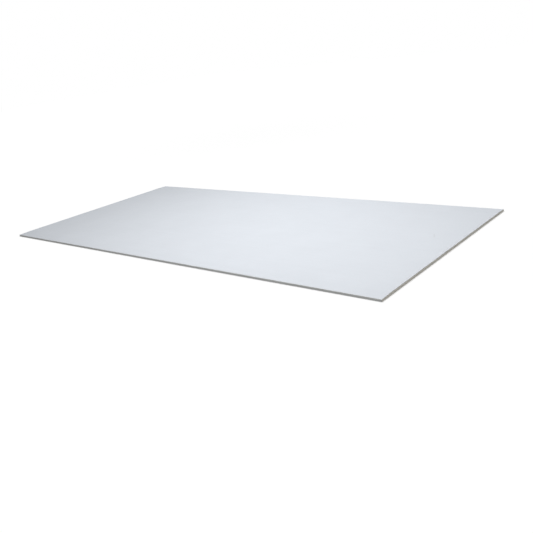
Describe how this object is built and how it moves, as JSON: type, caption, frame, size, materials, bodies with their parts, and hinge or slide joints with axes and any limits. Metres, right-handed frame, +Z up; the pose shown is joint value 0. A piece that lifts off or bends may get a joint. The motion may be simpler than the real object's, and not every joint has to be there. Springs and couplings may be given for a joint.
{
  "type": "drywall sheet",
  "caption": "Flat rectangular gypsum wallboard sheet with paper faces, tapered paper-bound long edges and square sawn ends, fixed to studs or joists to line walls and ceilings.",
  "frame": {"origin": "centre of the back face, which lies on the floor", "axes": "+X along the sheet's length, +Y across its width, +Z up, out of the finish face"},
  "size_m": [2.5, 1.2, 0.0125],
  "materials": {
    "face_paper": "matte"
  },
  "bodies": {
    "root": {"drywall_sheet": "face_paper"}
  },
  "joints": []
}
